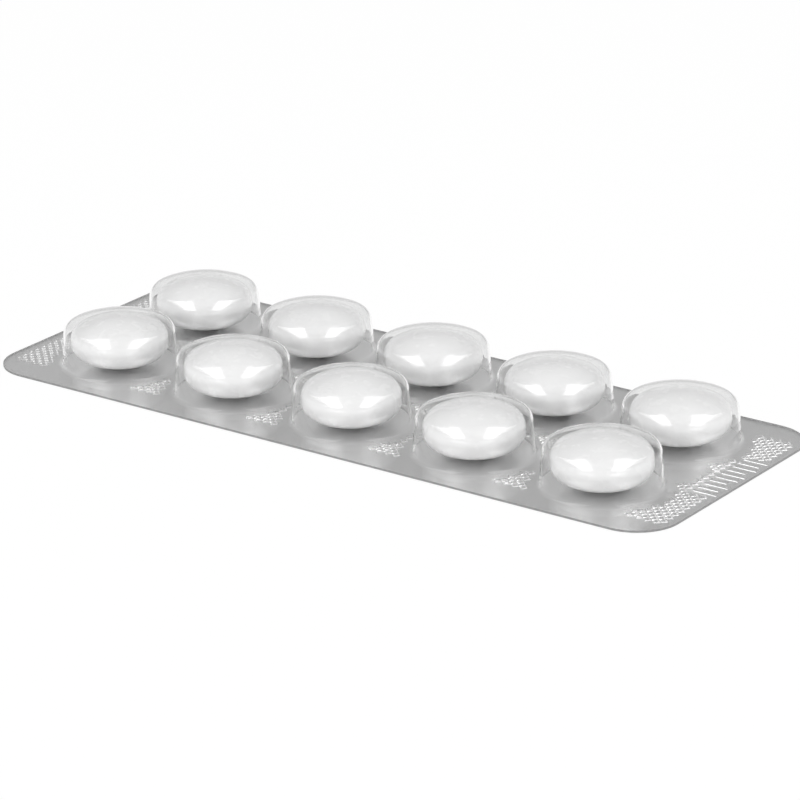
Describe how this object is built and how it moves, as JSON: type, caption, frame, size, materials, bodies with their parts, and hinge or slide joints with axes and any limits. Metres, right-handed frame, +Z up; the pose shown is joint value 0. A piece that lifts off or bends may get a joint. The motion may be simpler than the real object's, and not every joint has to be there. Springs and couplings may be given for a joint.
{
  "type": "blister pack of tablets",
  "caption": "Clear thermoformed blister strip lidded with aluminium foil, with round white coated tablets sealed in rows of domed cavities.",
  "frame": {"origin": "centre of the strip on the foil's underside, which is the surface that it lies on", "axes": "+X along the strip, +Y across it, +Z up through the foil and out of the domed cavities"},
  "size_m": [0.0956, 0.037, 0.0066],
  "materials": {
    "clear_film": "clear glossy rigid film, faintly grey",
    "foil": "dull silver lidding foil with a fine sealing knurl",
    "tablet_coat": "glossy white polymer coat on a pressed tablet"
  },
  "bodies": {
    "root": {"blister_film": "clear_film", "lidding_foil": "foil", "tablet_1": "tablet_coat", "tablet_2": "tablet_coat", "tablet_3": "tablet_coat", "tablet_4": "tablet_coat", "tablet_5": "tablet_coat", "tablet_6": "tablet_coat", "tablet_7": "tablet_coat", "tablet_8": "tablet_coat", "tablet_9": "tablet_coat", "tablet_10": "tablet_coat"}
  },
  "joints": []
}
